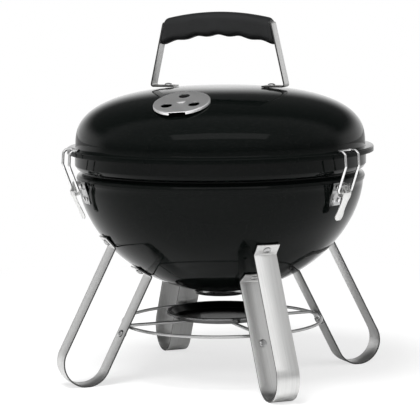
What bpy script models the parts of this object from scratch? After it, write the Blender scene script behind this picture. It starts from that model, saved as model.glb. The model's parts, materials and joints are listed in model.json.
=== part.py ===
"""A portable charcoal kettle grill: a round bowl and lid held together by three over-centre wire
latches, on four looped strap legs that also carry a wire ring with an ash pan.

Metres, +Z up. The origin is on the kettle's axis, on the ground. Azimuths are in degrees, from the
front leg (-Y) towards the right leg (+X). A station's own axes are x outwards, y sideways, z up.
"""

import math

import bmesh
import bpy
from mathutils import Matrix, Vector

# Sheet and fits
SHEET = 0.0012  # wall of the bowl and the lid
SEAT_GAP = 0.0003  # between two pieces that touch
PIN_GAP = 0.0003  # round a pin or a screw in its hole
TURN_STEPS = 36  # segments round the bowl and the lid
WIRE_SIDES = 6
PIN_SIDES = 8
SMOOTH_ANGLE = math.radians(35)

# Bowl
BOWL_RADIUS = 0.1816
BOWL_BOTTOM = 0.109
BOWL_DEPTH = 0.1484  # from the bottom to where the wall stands upright
BOWL_SHOULDER = BOWL_BOTTOM + BOWL_DEPTH
BOWL_FULLNESS = 1.1  # 1 is an ellipse, more is a flatter bottom
BAND_RADIUS = BOWL_RADIUS + 0.0034
BAND_BOTTOM = BOWL_SHOULDER + 0.0156
RIM_WIDTH = 0.0045
GROOVE_RADIUS = BOWL_RADIUS - 0.0060
GROOVE_HEIGHT = BOWL_SHOULDER + 0.0074
BEAD_RADIUS = BOWL_RADIUS + 0.0018
BEAD_HEIGHT = BOWL_SHOULDER - 0.0002
BEAD_BOTTOM = BOWL_SHOULDER - 0.0069

# Lid
LID_RADIUS = BOWL_RADIUS + 0.0024
LID_BASE = BOWL_SHOULDER + 0.0386  # height where the dome starts
LID_RISE = 0.0747
LID_SHOULDER = (0.785, 0.743)  # powers of the cosine and the sine along the dome
BRIM_RADIUS = BOWL_RADIUS + 0.0131
BRIM_TOP = LID_BASE - 0.0008
BRIM_BOTTOM = LID_BASE - 0.0075
BRIM_EDGE = 0.0016

# Legs, each one strap folded into a loop
LEG_WIDTH = 0.0295
LEG_THICKNESS = 0.002
LEG_LOOP_RADIUS = 0.031  # outer radius of the foot
LEG_REACH = BOWL_RADIUS + 0.0048  # from the axis to the centre of the foot's loop
LEG_TILT = math.radians(27.2)
FOOT_FLAT = math.radians(8)  # half the angle of the loop's flat on the ground
LEG_OUTER_BOLT = BOWL_BOTTOM + 0.072  # heights where the two tabs touch the bowl
LEG_INNER_BOLT = BOWL_BOTTOM + 0.033
LEG_TAB_END = 0.0085  # from the bolt to the end of the tab
LEG_AZIMUTHS = {"front": 0, "right": 90, "rear": 180, "left": 270}

# Screws
BOLT_SHANK = 0.0022
BOLT_HEAD = (0.0049, 0.0025)  # radius and height
BOLT_NUT = (0.0042, 0.0030)

# Wire ring under the bowl
RING_HEIGHT = 0.0705
RING_WIRE = 0.002
CLIP_THICKNESS = 0.0015
CLIP_WIDTH = 0.013
CLIP_DROP = 0.0145  # from the ring's wire to the clip's lower end
RING_BOLT_DROP = 0.0085
CROSS_LIFT = 0.0016  # the cross wires' centre above the ring's

# Ash pan
PAN_RADIUS = 0.0697
PAN_FLOOR_RADIUS = 0.060
PAN_HEIGHT = 0.0072
PAN_SHEET = 0.001

# Grates
COOKING_RING_WIRE = 0.0025
COOKING_RING_INSET = 0.0066  # from the band's outside to the ring's centre
COOKING_BAR_WIRE = 0.0018
COOKING_BAR_PITCH = 0.0195
CHARCOAL_RADIUS = BOWL_RADIUS - 0.0536
CHARCOAL_RING_WIRE = 0.0025
CHARCOAL_BAR_WIRE = 0.0022
CHARCOAL_BAR_PITCH = 0.027

# Vents
DAMPER_RADIUS = 0.035
DAMPER_SHEET = 0.001
DAMPER_RIM = 0.0026
DAMPER_LIFT = 0.002
DAMPER_HOLE = 0.0070
DAMPER_HOLE_CIRCLE = 0.0195
DAMPER_NOTCH = (0.021, 0.0026)  # length along the rim and depth
VENT_RIVET_SHANK = 0.0025
VENT_RIVET_SLACK = 0.0009  # the rivet's inner head stands this far off the curved sheet
VENT_SEAT_RADIUS = 0.0085  # flat at the bowl's lowest point
LID_VENT_REACH = LID_RADIUS - 0.051
LID_VENT_AZIMUTH = -41.3
VENT_TURN = math.radians(-50)

# Carry handle
HANDLE_AZIMUTH = 52.9
HANDLE_STRAP_THICKNESS = 0.002
HANDLE_FOOT_REACH = 0.0887  # from the axis to the outside of an upright's foot
HANDLE_TAB_LENGTH = 0.031
HANDLE_BOLT_REACH = 0.068
HANDLE_STRAP_HEIGHT = LID_BASE + LID_RISE + 0.0798  # where the strap turns down
HANDLE_STRAP_CROWN = 0.007
GRIP_HALF_LENGTH = 0.0690
GRIP_WIDTH = 0.029
HANDLE_STRAP_WIDTH = GRIP_WIDTH - 0.005
GRIP_TOP = HANDLE_STRAP_HEIGHT + 0.0142
GRIP_DEPTH = 0.0289
GRIP_CROWN = 0.0083
GRIP_FINGER_DEPTH = 0.0009
GRIP_FINGERS = 5

# Latches
LATCH_AZIMUTHS = {"left": -90, "right": 30, "rear": 150}
LATCH_PIVOT = (BOWL_RADIUS + 0.0089, BOWL_SHOULDER - 0.0039)  # lever's pivot: reach and height
BAIL_PIVOT = (BOWL_RADIUS + 0.0114, BOWL_SHOULDER - 0.0109)  # wire's pivot in the lever
LATCH_SHEET = 0.0014
BRACKET_HALF_WIDTH = 0.0105
BRACKET_RIVET_HEIGHT = BOWL_SHOULDER - 0.0214
BRACKET_FOOT = 0.0065  # from the rivets to the bracket's lower end
BRACKET_TOP = BOWL_SHOULDER + 0.0001
RIVET_SPREAD = 0.0055
RIVET_SHANK = 0.0015
RIVET_HEAD = 0.0028
LATCH_PIN = 0.0017
LEVER_WIDTH = 0.0158
LEVER_WAIST = 0.0125
LEVER_TIP = (BOWL_RADIUS + 0.0014, BOWL_SHOULDER - 0.0449)
LEVER_SHOULDER = (BOWL_RADIUS + 0.0159, BOWL_SHOULDER - 0.0109)
BAIL_WIRE = 0.0017
BAIL_HALF_WIDTH = 0.0135
BAIL_OVERLAP = 0.0035  # how far the cross wire reaches in over the brim
BAIL_REACH = BRIM_RADIUS + 0.0103
BAIL_KNEE = BRIM_BOTTOM - 0.0095


# Scene and materials


def clear_scene():
    for obj in list(bpy.data.objects):
        bpy.data.objects.remove(obj)


def material(name, color, roughness, metallic=0.0):
    made = bpy.data.materials.new(name)
    made.use_nodes = True
    shader = made.node_tree.nodes["Principled BSDF"]
    shader.inputs["Base Color"].default_value = (*color, 1.0)
    shader.inputs["Roughness"].default_value = roughness
    shader.inputs["Metallic"].default_value = metallic
    return made


def make_materials():
    return {
        "enamel": material("black_enamel", (0.008, 0.008, 0.009), 0.12),
        "strap": material("brushed_steel", (0.62, 0.62, 0.61), 0.34, 1.0),
        "plated": material("plated_steel", (0.72, 0.72, 0.72), 0.18, 1.0),
        "pan": material("bright_pan", (0.78, 0.78, 0.77), 0.12, 1.0),
        "grip": material("grip_plastic", (0.035, 0.036, 0.038), 0.55),
        "grate": material("grate_wire", (0.55, 0.55, 0.54), 0.3, 1.0),
        "coals": material("charcoal_wire", (0.25, 0.25, 0.24), 0.5, 1.0),
    }


def station(azimuth):
    """The axes of a place round the kettle: x outwards, y sideways, z up, origin on the axis."""
    return Matrix.Rotation(math.radians(azimuth - 90), 4, "Z")


def add_object(bm, name, look, place=None, pivot=(0, 0, 0)):
    """Puts a mesh built in a station's axes into the scene, with its origin at pivot."""
    place = place or Matrix.Identity(4)
    bmesh.ops.recalc_face_normals(bm, faces=bm.faces)
    bmesh.ops.translate(bm, verts=bm.verts, vec=-Vector(pivot))
    mesh = bpy.data.meshes.new(name)
    bm.to_mesh(mesh)
    bm.free()
    mesh.shade_smooth()
    mesh.set_sharp_from_angle(angle=SMOOTH_ANGLE)
    if look:
        mesh.materials.append(look)
    obj = bpy.data.objects.new(name, mesh)
    obj.matrix_world = place @ Matrix.Translation(pivot)
    bpy.context.scene.collection.objects.link(obj)
    return obj


def combine(obj, bm, operation, place=None):
    """Cuts a helper mesh from an object, or joins it on. The helper isn't rendered."""
    helper = add_object(bm, f"{obj.name}_{operation.lower()}", None, place)
    helper.hide_render = True
    helper.display_type = "WIRE"
    modifier = obj.modifiers.new(helper.name, "BOOLEAN")
    modifier.operation = operation
    modifier.object = helper
    modifier.use_self = operation == "UNION"
    return obj


# Outlines: lists of (reach, height) points


def meet(point, along, other, other_along):
    """Where two lines in the plane cross."""
    point, along, other, other_along = map(Vector, (point, along, other, other_along))
    cross = along.x * other_along.y - along.y * other_along.x
    apart = other - point
    return point + along * ((apart.x * other_along.y - apart.y * other_along.x) / cross)


def arc(center, radius, start, end, steps):
    """Points on a circle between two angles in radians."""
    angles = [start + (end - start) * k / steps for k in range(steps + 1)]
    return [Vector((center[0] + radius * math.cos(a), center[1] + radius * math.sin(a))) for a in angles]


def rounded(points, radius, steps=3):
    """A bent line with its inner corners rounded off, in the plane or in space."""
    points = [Vector(point) for point in points]
    line = [points[0]]
    for before, corner, after in zip(points, points[1:], points[2:]):
        towards = (before - corner).normalized()
        away = (after - corner).normalized()
        half_turn = (math.pi - towards.angle(away)) / 2
        longest = 0.45 * min((before - corner).length, (after - corner).length)
        reach = min(radius * math.tan(half_turn), longest)
        start = corner + towards * reach
        end = corner + away * reach
        for k in range(steps + 1):
            t = k / steps
            line.append(start * (1 - t) ** 2 + corner * 2 * t * (1 - t) + end * t**2)
    return line + [points[-1]]


def side_steps(line):
    """At each point of a line in the plane, the unit step to its right, longer at a corner."""
    runs = [(b - a).normalized() for a, b in zip(line, line[1:])]
    steps = []
    for before, after in zip([runs[0], *runs], [*runs, runs[-1]]):
        across = Vector((before.y + after.y, -before.x - after.x)).normalized()
        steps.append(across / max(across.dot(Vector((after.y, -after.x))), 0.3))
    return steps


def shell(outside, thickness):
    """The closed section of a wall whose outside runs down and in, with its hollow on the right."""
    outside = [Vector(point) for point in outside]
    inside = [point + step * thickness for point, step in zip(outside, side_steps(outside))]
    for outer, inner in zip(outside, inside):
        if outer.x == 0:
            inner.x = 0
    return outside + inside[::-1]


def bowl_point(turn):
    height = BOWL_BOTTOM + BOWL_DEPTH * (1 - math.sin(turn) ** BOWL_FULLNESS)
    return Vector((BOWL_RADIUS * math.cos(turn), height))


def bowl_turn(height):
    """The turn at which the bowl's outside has this height."""
    return math.asin((1 - (height - BOWL_BOTTOM) / BOWL_DEPTH) ** (1 / BOWL_FULLNESS))


def bowl_contact(height):
    """A point on the bowl's outside below its bead, the way up along it, and the way out of it."""
    wall = [Vector(point) for point in bowl_outline()]
    high, low = next(run for run in zip(wall, wall[1:]) if run[1].y < height <= run[0].y)
    up = (high - low).normalized()
    return low + up * ((height - low.y) / up.y), up, Vector((up.y, -up.x))


def dome_point(turn):
    reach = LID_RADIUS * math.cos(turn) ** LID_SHOULDER[0]
    return Vector((reach, LID_BASE + LID_RISE * math.sin(turn) ** LID_SHOULDER[1]))


def dome_height(reach):
    return dome_point(math.acos((reach / LID_RADIUS) ** (1 / LID_SHOULDER[0]))).y


def ledge_points():
    """The bowl's outside from its upright band in to the groove, which the grate sits on."""
    width = BAND_RADIUS - GROOVE_RADIUS
    rise = BAND_BOTTOM - GROOVE_HEIGHT
    return [
        (BAND_RADIUS, BAND_BOTTOM),
        (BAND_RADIUS - 0.09 * width, BAND_BOTTOM - 0.30 * rise),
        (BAND_RADIUS - 0.40 * width, BAND_BOTTOM - 0.62 * rise),
        (BAND_RADIUS - 0.90 * width, BAND_BOTTOM - 0.82 * rise),
        (GROOVE_RADIUS, GROOVE_HEIGHT),
    ]


def bowl_outline():
    rim_bottom = BRIM_TOP - 2 * SHEET - SEAT_GAP
    groove_depth = BEAD_RADIUS - GROOVE_RADIUS
    line = [(BAND_RADIUS + RIM_WIDTH, rim_bottom), (BAND_RADIUS, rim_bottom)]
    line += ledge_points()
    drop = GROOVE_HEIGHT - BEAD_HEIGHT
    line += [
        (GROOVE_RADIUS + 0.15 * groove_depth, GROOVE_HEIGHT - 0.28 * drop),
        (GROOVE_RADIUS + 0.78 * groove_depth, GROOVE_HEIGHT - 0.55 * drop),
        (BEAD_RADIUS, BEAD_HEIGHT),
        (BEAD_RADIUS - 0.0006, BEAD_HEIGHT - 0.55 * (BEAD_HEIGHT - BEAD_BOTTOM)),
    ]
    start = bowl_turn(BEAD_BOTTOM)
    steps = 9
    turns = [start + (math.pi / 2 - start) * k / steps for k in range(steps)]
    line += [bowl_point(turn) for turn in turns]
    return line + [(VENT_SEAT_RADIUS, BOWL_BOTTOM), (0, BOWL_BOTTOM)]


def lid_outline():
    steps = 10
    turns = [math.pi / 2 * (1 - (k / steps) ** 1.35) for k in range(1, steps)]
    line = [(0, LID_BASE + LID_RISE)] + [dome_point(turn) for turn in turns]
    line += [(LID_RADIUS, LID_BASE + 0.0012), (LID_RADIUS + SHEET, BRIM_TOP)]
    line += [(BRIM_RADIUS - BRIM_EDGE, BRIM_TOP), (BRIM_RADIUS, BRIM_TOP - BRIM_EDGE)]
    return line + [(BRIM_RADIUS, BRIM_BOTTOM)]


# Solids


def lathe(bm, section, steps=TURN_STEPS):
    """Turns a closed section of (reach, height) points round Z."""
    verts = [bm.verts.new((point[0], 0, point[1])) for point in section]
    edges = [bm.edges.new(pair) for pair in zip(verts, verts[1:] + verts[:1])]
    bmesh.ops.spin(
        bm,
        geom=verts + edges,
        axis=(0, 0, 1),
        cent=(0, 0, 0),
        angle=2 * math.pi,
        steps=steps,
        use_merge=True,
    )
    bmesh.ops.remove_doubles(bm, verts=bm.verts, dist=1e-6)
    bmesh.ops.dissolve_degenerate(bm, edges=bm.edges, dist=1e-6)


def turned(bm, stack, start, axis, steps=PIN_SIDES):
    """A pin: a stack of (radius, length) turned pieces from start along axis."""
    section = [(0, 0)]
    at = 0
    for radius, length in stack:
        section += [(radius, at), (radius, at + length)]
        at += length
    section.append((0, at))
    piece = bmesh.new()
    lathe(piece, section, steps)
    turn = Vector((0, 0, 1)).rotation_difference(Vector(axis)).to_matrix().to_4x4()
    piece.transform(Matrix.Translation(start) @ turn)
    merge(bm, piece)


def merge(bm, piece):
    """Adds a mesh to another as a separate body."""
    mesh = bpy.data.meshes.new("piece")
    piece.to_mesh(mesh)
    piece.free()
    bm.from_mesh(mesh)
    bpy.data.meshes.remove(mesh)


def strip(bm, line, thickness, widths):
    """A flat strip that follows a line in the x-z plane and is widths wide along y."""
    line = [Vector(point) for point in line]
    if not isinstance(widths, list):
        widths = [widths] * len(line)
    rings = []
    for point, step, width in zip(line, side_steps(line), widths):
        corners = []
        for side, y in ((-0.5, -0.5), (0.5, -0.5), (0.5, 0.5), (-0.5, 0.5)):
            at = point + step * side * thickness
            corners.append(bm.verts.new((at.x, y * width, at.y)))
        rings.append(corners)
    for ring, following in zip(rings, rings[1:]):
        for k in range(4):
            bm.faces.new((ring[k], ring[k - 1], following[k - 1], following[k]))
    bm.faces.new(rings[0])
    bm.faces.new(rings[-1][::-1])


def plate(bm, outline, low, high):
    """An outline in the x-z plane, extruded along y from low to high."""
    face = bm.faces.new([bm.verts.new((point[0], low, point[1])) for point in outline])
    made = bmesh.ops.extrude_face_region(bm, geom=[face])
    verts = [item for item in made["geom"] if isinstance(item, bmesh.types.BMVert)]
    bmesh.ops.translate(bm, verts=verts, vec=(0, high - low, 0))


def wire(bm, line, radius, sides=WIRE_SIDES):
    """A round wire along a line in space, with flat ends."""
    line = [Vector(point) for point in line]
    runs = [(b - a).normalized() for a, b in zip(line, line[1:])]
    normal = runs[0].orthogonal().normalized()
    rings = []
    for point, before, after in zip(line, [runs[0], *runs], [*runs, runs[-1]]):
        along = (before + after).normalized()
        normal = (normal - along * normal.dot(along)).normalized()
        across = along.cross(normal)
        ring = []
        for k in range(sides):
            angle = 2 * math.pi * k / sides
            offset = (normal * math.cos(angle) + across * math.sin(angle)) * radius
            ring.append(bm.verts.new(point + offset))
        rings.append(ring)
    for ring, following in zip(rings, rings[1:]):
        for k in range(sides):
            bm.faces.new((ring[k - 1], ring[k], following[k], following[k - 1]))
    bm.faces.new(rings[0][::-1])
    bm.faces.new(rings[-1])


def wire_ring(bm, radius, height, wire_radius, steps=TURN_STEPS):
    """A closed ring of round wire, its outermost edge at a corner of the wire's section."""
    section = arc((radius, height), wire_radius, 0, -2 * math.pi, WIRE_SIDES)[:-1]
    lathe(bm, section, steps)


def space(point, y=0.0):
    """A point of the x-z plane as a point in space."""
    return Vector((point[0], y, point[1]))


def side_fall(reach):
    """How far a turned wall falls back this far to the side of one of its corners."""
    return reach * math.tan(math.pi / TURN_STEPS)


def bolt_stack(grip):
    """Head, shank through the clamped sheets, and nut."""
    slack = 2 * SEAT_GAP
    return [(BOLT_HEAD[0], BOLT_HEAD[1]), (BOLT_SHANK, grip + slack), (BOLT_NUT[0], BOLT_NUT[1])]


def bolt(name, look, place, outside, inward, grip):
    """A screw and its nut. outside is a point on the outer face that the head sits on."""
    bm = bmesh.new()
    inward = Vector(inward).normalized()
    start = Vector(outside) - inward * (BOLT_HEAD[1] + SEAT_GAP)
    turned(bm, bolt_stack(grip), start, inward)
    return add_object(bm, name, look, place)


def drill(bm, point, axis, radius, reach=0.006, steps=PIN_SIDES):
    """A round cutter through a sheet at point, along axis."""
    axis = Vector(axis).normalized()
    turned(bm, [(radius, 2 * reach)], Vector(point) - axis * reach, axis, steps)


# Legs


def leg_lines():
    """The strap's centre line from its outer tab to its inner one, and its three bolts' places.

    Each bolt is (point on the strap's centre line, way towards the kettle's inside).
    """
    middle = LEG_LOOP_RADIUS - LEG_THICKNESS / 2
    centre = Vector((LEG_REACH, middle * math.cos(FOOT_FLAT) + LEG_THICKNESS / 2))
    out = Vector((math.cos(LEG_TILT), math.sin(LEG_TILT)))
    up = Vector((-out.y, out.x))
    ends = []
    bolts = []
    for side, height in ((1, LEG_OUTER_BOLT), (-1, LEG_INNER_BOLT)):
        contact, along, away = bowl_contact(height)
        seat = contact + away * (SEAT_GAP + LEG_THICKNESS / 2)
        fold = meet(seat, along, centre + out * side * middle, up)
        ends.append([seat + along * LEG_TAB_END, fold])
        bolts.append((seat, -away))
    under = -math.pi / 2
    loop = arc(centre, middle, LEG_TILT, under + FOOT_FLAT, 7)
    loop += arc(centre, middle, under - FOOT_FLAT, LEG_TILT - math.pi, 4)
    line = ends[0] + loop + ends[1][::-1]
    return line, bolts, leg_arm(centre - out * middle, up, -out)


def leg_arm(start, up, inward):
    """The inner arm's line, and where the ring's screw goes through it."""
    height = RING_HEIGHT - RING_BOLT_DROP
    at = start + up * ((height - start.y) / up.y)
    return {"start": start, "up": up, "inward": inward, "bolt": at}


def make_leg(name, azimuth, looks):
    place = station(azimuth)
    line, bolts, arm = leg_lines()
    bm = bmesh.new()
    strip(bm, line, LEG_THICKNESS, LEG_WIDTH)
    leg = add_object(bm, f"leg_{name}", looks["strap"], place)
    holes = bmesh.new()
    for point, inward in bolts:
        drill(holes, space(point), space(inward), BOLT_SHANK + PIN_GAP)
    drill(holes, space(arm["bolt"]), space(arm["inward"]), BOLT_SHANK + PIN_GAP)
    combine(leg, holes, "DIFFERENCE", place)
    grip = LEG_THICKNESS + SHEET + SEAT_GAP + side_fall(BOLT_NUT[0])
    for tab, (point, inward) in zip(("outer", "inner"), bolts):
        outside = space(point - inward * (LEG_THICKNESS / 2))
        bolt(f"leg_{name}_{tab}_bolt", looks["plated"], place, outside, space(inward), grip)
    outside = space(arm["bolt"] - arm["inward"] * (LEG_THICKNESS / 2))
    grip = LEG_THICKNESS + CLIP_THICKNESS + SEAT_GAP
    bolt(f"ring_bolt_{name}", looks["plated"], place, outside, space(arm["inward"]), grip)


# Wire ring and ash pan


def clip_face(arm):
    """The clips' centre plane: its point at the height of the ring's wire."""
    offset = (LEG_THICKNESS + CLIP_THICKNESS) / 2 + SEAT_GAP
    start = arm["start"] + arm["inward"] * offset
    return start + arm["up"] * ((RING_HEIGHT - start.y) / arm["up"].y)


def ring_radius(arm):
    """The ring's centre radius, with its wire just sunk into the clips as a weld does."""
    sunk = 0.0003
    gap = (CLIP_THICKNESS / 2 + RING_WIRE - sunk) / -arm["inward"].x
    return clip_face(arm).x - gap


def make_ring(looks):
    arm = leg_lines()[2]
    radius = ring_radius(arm)
    bm = bmesh.new()
    wire_ring(bm, radius, RING_HEIGHT, RING_WIRE)
    carrier = add_object(bm, "ash_pan_carrier", looks["plated"])
    extras = bmesh.new()
    face = clip_face(arm)
    for azimuth in (0, 90):
        across = station(azimuth).to_3x3() @ Vector((radius, 0, 0))
        lift = Vector((0, 0, RING_HEIGHT + CROSS_LIFT + 0.0002 * azimuth / 90))
        wire(extras, [lift - across, lift + across], RING_WIRE)
    for azimuth in LEG_AZIMUTHS.values():
        clip = bmesh.new()
        ends = [face + arm["up"] * RING_WIRE, face - arm["up"] * CLIP_DROP]
        strip(clip, ends, CLIP_THICKNESS, CLIP_WIDTH)
        bmesh.ops.recalc_face_normals(clip, faces=clip.faces)
        clip.transform(station(azimuth))
        merge(extras, clip)
    combine(carrier, extras, "UNION")
    holes = bmesh.new()
    for azimuth in LEG_AZIMUTHS.values():
        turn = station(azimuth).to_3x3()
        drill(holes, turn @ space(arm["bolt"]), turn @ space(arm["inward"]), BOLT_SHANK + PIN_GAP)
    combine(carrier, holes, "DIFFERENCE")


def make_pan(looks):
    floor = RING_HEIGHT + CROSS_LIFT + 0.0002 + RING_WIRE + SEAT_GAP
    top = floor + PAN_HEIGHT
    line = [
        (PAN_RADIUS, top - 0.0016),
        (PAN_RADIUS - 0.0008, top),
        (PAN_RADIUS - 0.0028, top - 0.0002),
        (PAN_FLOOR_RADIUS + 0.0015, floor + 0.0012),
        (PAN_FLOOR_RADIUS, floor),
        (0, floor),
    ]
    bm = bmesh.new()
    lathe(bm, shell(line, PAN_SHEET), 30)
    add_object(bm, "ash_pan", looks["pan"])


# Grates


def grate_bars(bm, radius, height, wire_radius, pitch):
    """Parallel bars that end inside the ring's wire."""
    count = int(radius * 0.97 / pitch)
    for k in range(-count, count + 1):
        y = k * pitch
        half = math.sqrt((radius - wire_radius / 2) ** 2 - y**2)
        wire(bm, [(-half, y, height), (half, y, height)], wire_radius)


def make_grate(name, look, radius, height, ring_wire, bar_wire, pitch):
    """A ring with parallel bars, and two stiffening bars welded below them."""
    bm = bmesh.new()
    wire_ring(bm, radius, height, ring_wire)
    grate = add_object(bm, name, look, pivot=(0, 0, height))
    bars = bmesh.new()
    lift = (ring_wire - bar_wire) * 0.5
    grate_bars(bars, radius, height + lift, bar_wire, pitch)
    for side in (-1, 1):
        x = side * radius * 0.42
        half = math.sqrt((radius - 2 * ring_wire) ** 2 - x**2)
        low = height + lift - bar_wire * 1.3
        wire(bars, [(x, -half, low), (x, half, low)], bar_wire)
    combine(grate, bars, "UNION")


def wire_seat(reach, wire_radius, lowest, highest):
    """The height at which a ring of this reach rests on the bowl's inside, between two heights."""
    section = shell(bowl_outline(), SHEET + SEAT_GAP + wire_radius)
    rests = section[len(section) // 2 :]
    for a, b in zip(rests, rests[1:]):
        if min(a.x, b.x) <= reach <= max(a.x, b.x) and a.x != b.x:
            height = a.y + (b.y - a.y) * (reach - a.x) / (b.x - a.x)
            if lowest < height < highest:
                return height
    raise ValueError("the ring rests nowhere on the bowl")


def make_grates(looks):
    radius = BAND_RADIUS - COOKING_RING_INSET
    height = wire_seat(radius, COOKING_RING_WIRE, GROOVE_HEIGHT, BRIM_TOP)
    sizes = (COOKING_RING_WIRE, COOKING_BAR_WIRE, COOKING_BAR_PITCH)
    make_grate("cooking_grate", looks["grate"], radius, height, *sizes)
    height = wire_seat(CHARCOAL_RADIUS, CHARCOAL_RING_WIRE, BOWL_BOTTOM, BEAD_BOTTOM)
    sizes = (CHARCOAL_RING_WIRE, CHARCOAL_BAR_WIRE, CHARCOAL_BAR_PITCH)
    make_grate("charcoal_grate", looks["coals"], CHARCOAL_RADIUS, height, *sizes)


# Vents


def damper_solid(bm):
    """A shallow round cap, its skirt down, with its underside at z = 0."""
    top = DAMPER_SHEET
    line = [
        (0, top),
        (DAMPER_RADIUS - 0.0014, top),
        (DAMPER_RADIUS - 0.0004, top - 0.0004),
        (DAMPER_RADIUS, top - 0.0014),
        (DAMPER_RADIUS, -DAMPER_RIM),
    ]
    lathe(bm, shell(line, DAMPER_SHEET), 22)


def vent_holes(bm, radius, reach):
    for k in range(3):
        angle = 2 * math.pi * k / 3
        at = (DAMPER_HOLE_CIRCLE * math.cos(angle), DAMPER_HOLE_CIRCLE * math.sin(angle), 0)
        drill(bm, at, (0, 0, 1), radius, reach, 10)


def make_damper(name, looks, place):
    """A damper on a place whose z axis points away from the sheet and whose origin is on it."""
    lifted = place @ Matrix.Translation((0, 0, DAMPER_LIFT))
    bm = bmesh.new()
    damper_solid(bm)
    damper = add_object(bm, name, looks["plated"], lifted)
    holes = bmesh.new()
    vent_holes(holes, DAMPER_HOLE, 0.004)
    drill(holes, (0, 0, 0), (0, 0, 1), VENT_RIVET_SHANK + PIN_GAP, 0.004)
    notch = bmesh.new()
    bmesh.ops.create_cube(notch, size=1)
    bmesh.ops.scale(notch, verts=notch.verts, vec=(2 * DAMPER_NOTCH[1], DAMPER_NOTCH[0], 0.02))
    bmesh.ops.translate(notch, verts=notch.verts, vec=(DAMPER_RADIUS, 0, 0))
    notch.transform(Matrix.Rotation(math.radians(60), 4, "Z"))
    merge(holes, notch)
    combine(damper, holes, "DIFFERENCE", lifted)
    make_vent_rivet(name.replace("damper", "rivet"), looks, place)


def make_vent_rivet(name, looks, place):
    head = 0.0016
    stack = [
        (0.0052, head),
        (VENT_RIVET_SHANK, SHEET + VENT_RIVET_SLACK + SEAT_GAP),
        (0.0065, DAMPER_LIFT - 2 * SEAT_GAP),
        (VENT_RIVET_SHANK, DAMPER_SHEET + 2 * SEAT_GAP),
        (0.0060, head),
    ]
    bm = bmesh.new()
    turned(bm, stack, (0, 0, -(head + SHEET + VENT_RIVET_SLACK)), (0, 0, 1), 10)
    add_object(bm, name, looks["plated"], place)


def lid_vent_place():
    """The lid's vent: origin on the dome and z along its normal, turned so that the notch faces down."""
    step = 0.001
    low = dome_height(LID_VENT_REACH + step)
    high = dome_height(LID_VENT_REACH - step)
    slope = math.atan2(high - low, 2 * step)
    at = Matrix.Translation((LID_VENT_REACH, 0, dome_height(LID_VENT_REACH)))
    tilted = at @ Matrix.Rotation(slope, 4, "Y")
    return station(LID_VENT_AZIMUTH) @ tilted @ Matrix.Rotation(VENT_TURN, 4, "Z")


def bowl_vent_place():
    return Matrix.Translation((0, 0, BOWL_BOTTOM)) @ Matrix.Rotation(math.pi, 4, "X")


# Lid with its handle


def handle_tab_bottom():
    return dome_height(HANDLE_FOOT_REACH - HANDLE_TAB_LENGTH) + SEAT_GAP


def handle_line():
    """The strap's centre line: tab, upright, crowned top, upright, tab."""
    half = HANDLE_STRAP_THICKNESS / 2
    foot = handle_tab_bottom() + half
    outer = HANDLE_FOOT_REACH - half
    top_end = GRIP_HALF_LENGTH + SEAT_GAP + half
    steps = 6
    top = []
    for k in range(-steps + 1, steps):
        x = top_end * k / steps
        top.append((x, HANDLE_STRAP_HEIGHT + HANDLE_STRAP_CROWN * (1 - (x / top_end) ** 2)))
    left = [(-(HANDLE_FOOT_REACH - HANDLE_TAB_LENGTH), foot), (-outer, foot), (-top_end, HANDLE_STRAP_HEIGHT)]
    right = [(-x, z) for x, z in left[::-1]]
    return rounded(left + top + right, 0.003, 2)


def grip_section(x):
    """The grip's cross section at x: a rounded oblong, its underside waved for the fingers."""
    bulge = (x / GRIP_HALF_LENGTH) ** 2
    top = GRIP_TOP - GRIP_CROWN * bulge
    wave = math.cos(2 * math.pi * GRIP_FINGERS * (x / GRIP_HALF_LENGTH) / 2)
    bottom = GRIP_TOP - GRIP_DEPTH - GRIP_CROWN * bulge + GRIP_FINGER_DEPTH * (wave - 1)
    middle = (top + bottom) / 2
    points = []
    for k in range(12):
        angle = 2 * math.pi * (k + 0.5) / 12
        across = math.copysign(abs(math.cos(angle)) ** 0.6, math.cos(angle))
        rise = math.copysign(abs(math.sin(angle)) ** 0.6, math.sin(angle))
        points.append((x, across * GRIP_WIDTH / 2, middle + rise * (top - bottom) / 2))
    return points


def make_grip(looks, place):
    steps = 16
    bm = bmesh.new()
    rings = []
    for k in range(steps + 1):
        x = GRIP_HALF_LENGTH * (2 * k / steps - 1)
        rings.append([bm.verts.new(point) for point in grip_section(x)])
    for ring, following in zip(rings, rings[1:]):
        for k in range(len(ring)):
            bm.faces.new((ring[k - 1], ring[k], following[k], following[k - 1]))
    bm.faces.new(rings[0][::-1])
    bm.faces.new(rings[-1])
    grip = add_object(bm, "handle_grip", looks["grip"], place)
    slot = bmesh.new()
    fit = 2 * SEAT_GAP
    strip(slot, handle_line(), HANDLE_STRAP_THICKNESS + fit, HANDLE_STRAP_WIDTH + fit)
    combine(grip, slot, "DIFFERENCE", place)


def handle_bolt_places():
    """Where each tab's screw comes down: a point on the tab's upper face."""
    top = handle_tab_bottom() + HANDLE_STRAP_THICKNESS
    return [Vector((side * HANDLE_BOLT_REACH, 0, top)) for side in (-1, 1)]


def make_handle(looks, place):
    bm = bmesh.new()
    strip(bm, handle_line(), HANDLE_STRAP_THICKNESS, HANDLE_STRAP_WIDTH)
    strap = add_object(bm, "handle_strap", looks["strap"], place)
    holes = bmesh.new()
    for point in handle_bolt_places():
        drill(holes, point, (0, 0, 1), BOLT_SHANK + PIN_GAP)
    combine(strap, holes, "DIFFERENCE", place)
    make_grip(looks, place)
    highest = dome_height(HANDLE_FOOT_REACH - HANDLE_TAB_LENGTH)
    fall = highest - dome_height(HANDLE_BOLT_REACH + BOLT_NUT[0])
    grip = HANDLE_STRAP_THICKNESS + SEAT_GAP + fall + SHEET
    for side, point in zip("ab", handle_bolt_places()):
        bolt(f"handle_bolt_{side}", looks["plated"], place, point, (0, 0, -1), grip)


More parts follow.
